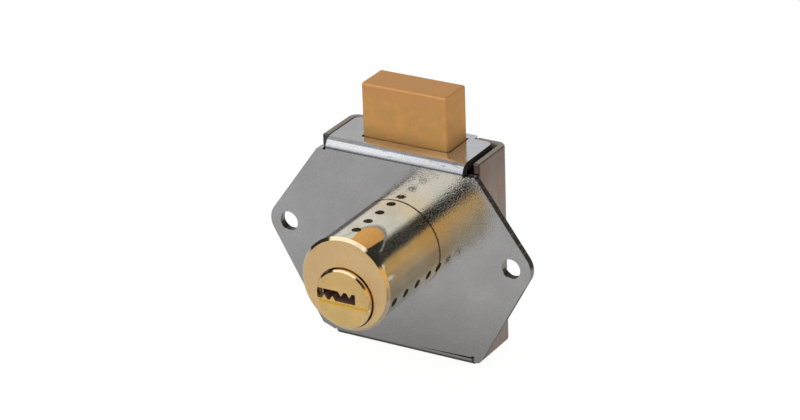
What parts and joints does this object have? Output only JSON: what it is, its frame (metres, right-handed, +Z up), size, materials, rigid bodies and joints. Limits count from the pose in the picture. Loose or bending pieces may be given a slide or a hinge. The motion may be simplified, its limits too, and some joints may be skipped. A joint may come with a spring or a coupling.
{
  "type": "drawer lock",
  "caption": "Drawer lock with a steel case behind a round brass pin cylinder; its plug turns a cam that slides a square brass dead bolt out of the top and back.",
  "frame": {"origin": "centre of the plate's front face on the cylinder's axis, midway between the two screw holes", "axes": "+X to the right along the line of the screw holes, +Y backwards into the cabinet, +Z up, the way the bolt is thrown"},
  "size_m": [0.0682, 0.0411, 0.0634],
  "materials": {
    "plate_steel": "polished nickel plate, faintly hazy",
    "cover_steel": "nickel-plated steel, duller than the plate",
    "barrel_brass": "mirror polished brass",
    "plug_brass": "satin brass face",
    "bolt_brass": "satin brass with a faint tumbled grain",
    "key_pin_brass": "turned brass",
    "pin_steel": "ground steel",
    "spring_steel": "drawn spring wire",
    "cap_brass": "dull brass, dark in its hole",
    "ring_steel": "blued spring steel",
    "cam_steel": "zinc-plated steel",
    "screw_steel": "zinc-plated steel"
  },
  "bodies": {
    "case": {"mounting_plate": "plate_steel", "rear_cover": "cover_steel", "cylinder_body": "barrel_brass", "retaining_ring": "ring_steel", "stop_pin": "pin_steel", "pin_spring_top_1": "spring_steel", "pin_spring_top_2": "spring_steel", "pin_spring_top_3": "spring_steel", "pin_spring_top_4": "spring_steel", "pin_spring_side_1": "spring_steel", "pin_spring_side_2": "spring_steel", "pin_spring_side_3": "spring_steel", "pin_spring_side_4": "spring_steel", "chamber_cap_top_1": "cap_brass", "chamber_cap_top_2": "cap_brass", "chamber_cap_top_3": "cap_brass", "chamber_cap_top_4": "cap_brass", "chamber_cap_side_1": "cap_brass", "chamber_cap_side_2": "cap_brass", "chamber_cap_side_3": "cap_brass", "chamber_cap_side_4": "cap_brass"},
    "plug": {"plug": "plug_brass", "cam": "cam_steel", "drive_pin": "pin_steel", "cam_screw": "screw_steel"},
    "bolt": {"bolt": "bolt_brass"},
    "key_pin_top_1": {"key_pin_top_1": "key_pin_brass"},
    "driver_pin_top_1": {"driver_pin_top_1": "pin_steel"},
    "key_pin_top_2": {"key_pin_top_2": "key_pin_brass"},
    "driver_pin_top_2": {"driver_pin_top_2": "pin_steel"},
    "key_pin_top_3": {"key_pin_top_3": "key_pin_brass"},
    "driver_pin_top_3": {"driver_pin_top_3": "pin_steel"},
    "key_pin_top_4": {"key_pin_top_4": "key_pin_brass"},
    "driver_pin_top_4": {"driver_pin_top_4": "pin_steel"},
    "key_pin_side_1": {"key_pin_side_1": "key_pin_brass"},
    "driver_pin_side_1": {"driver_pin_side_1": "pin_steel"},
    "key_pin_side_2": {"key_pin_side_2": "key_pin_brass"},
    "driver_pin_side_2": {"driver_pin_side_2": "pin_steel"},
    "key_pin_side_3": {"key_pin_side_3": "key_pin_brass"},
    "driver_pin_side_3": {"driver_pin_side_3": "pin_steel"},
    "key_pin_side_4": {"key_pin_side_4": "key_pin_brass"},
    "driver_pin_side_4": {"driver_pin_side_4": "pin_steel"}
  },
  "joints": [
    {"name": "cam_turn", "type": "hinge", "parent": "case", "child": "plug", "pos_m": [0, 0, -0.00315], "axis": [0, 1, 0], "range_deg": [0, 180]},
    {"name": "bolt_slide", "type": "slide", "parent": "case", "child": "bolt", "axis": [0, 0, 1], "range_m": [-0.0127, 0]},
    {"name": "key_pin_top_1_drop", "type": "slide", "parent": "plug", "child": "key_pin_top_1", "axis": [0, 0, -1], "range_m": [0, 0.001]},
    {"name": "driver_pin_top_1_lift", "type": "slide", "parent": "case", "child": "driver_pin_top_1", "axis": [0, 0, 1], "range_m": [0, 0.001], "stiffness_N_per_m": 100, "springref_m": -0.003, "deforming": ["pin_spring_top_1"]},
    {"name": "key_pin_top_2_drop", "type": "slide", "parent": "plug", "child": "key_pin_top_2", "axis": [0, 0, -1], "range_m": [0, 0.001]},
    {"name": "driver_pin_top_2_lift", "type": "slide", "parent": "case", "child": "driver_pin_top_2", "axis": [0, 0, 1], "range_m": [0, 0.001], "stiffness_N_per_m": 100, "springref_m": -0.003, "deforming": ["pin_spring_top_2"]},
    {"name": "key_pin_top_3_drop", "type": "slide", "parent": "plug", "child": "key_pin_top_3", "axis": [0, 0, -1], "range_m": [0, 0.001]},
    {"name": "driver_pin_top_3_lift", "type": "slide", "parent": "case", "child": "driver_pin_top_3", "axis": [0, 0, 1], "range_m": [0, 0.001], "stiffness_N_per_m": 100, "springref_m": -0.003, "deforming": ["pin_spring_top_3"]},
    {"name": "key_pin_top_4_drop", "type": "slide", "parent": "plug", "child": "key_pin_top_4", "axis": [0, 0, -1], "range_m": [0, 0.001]},
    {"name": "driver_pin_top_4_lift", "type": "slide", "parent": "case", "child": "driver_pin_top_4", "axis": [0, 0, 1], "range_m": [0, 0.001], "stiffness_N_per_m": 100, "springref_m": -0.003, "deforming": ["pin_spring_top_4"]},
    {"name": "key_pin_side_1_drop", "type": "slide", "parent": "plug", "child": "key_pin_side_1", "axis": [-1, 0, 0], "range_m": [0, 0.001]},
    {"name": "driver_pin_side_1_lift", "type": "slide", "parent": "case", "child": "driver_pin_side_1", "axis": [1, 0, 0], "range_m": [0, 0.0005], "stiffness_N_per_m": 100, "springref_m": -0.003, "deforming": ["pin_spring_side_1"]},
    {"name": "key_pin_side_2_drop", "type": "slide", "parent": "plug", "child": "key_pin_side_2", "axis": [-1, 0, 0], "range_m": [0, 0.001]},
    {"name": "driver_pin_side_2_lift", "type": "slide", "parent": "case", "child": "driver_pin_side_2", "axis": [1, 0, 0], "range_m": [0, 0.0005], "stiffness_N_per_m": 100, "springref_m": -0.003, "deforming": ["pin_spring_side_2"]},
    {"name": "key_pin_side_3_drop", "type": "slide", "parent": "plug", "child": "key_pin_side_3", "axis": [-1, 0, 0], "range_m": [0, 0.001]},
    {"name": "driver_pin_side_3_lift", "type": "slide", "parent": "case", "child": "driver_pin_side_3", "axis": [1, 0, 0], "range_m": [0, 0.0005], "stiffness_N_per_m": 100, "springref_m": -0.003, "deforming": ["pin_spring_side_3"]},
    {"name": "key_pin_side_4_drop", "type": "slide", "parent": "plug", "child": "key_pin_side_4", "axis": [-1, 0, 0], "range_m": [0, 0.001]},
    {"name": "driver_pin_side_4_lift", "type": "slide", "parent": "case", "child": "driver_pin_side_4", "axis": [1, 0, 0], "range_m": [0, 0.0005], "stiffness_N_per_m": 100, "springref_m": -0.003, "deforming": ["pin_spring_side_4"]}
  ],
  "couplings": [
    {"joint": "cam_turn", "follows": "bolt_slide", "rad_per_m": -247.37}
  ]
}
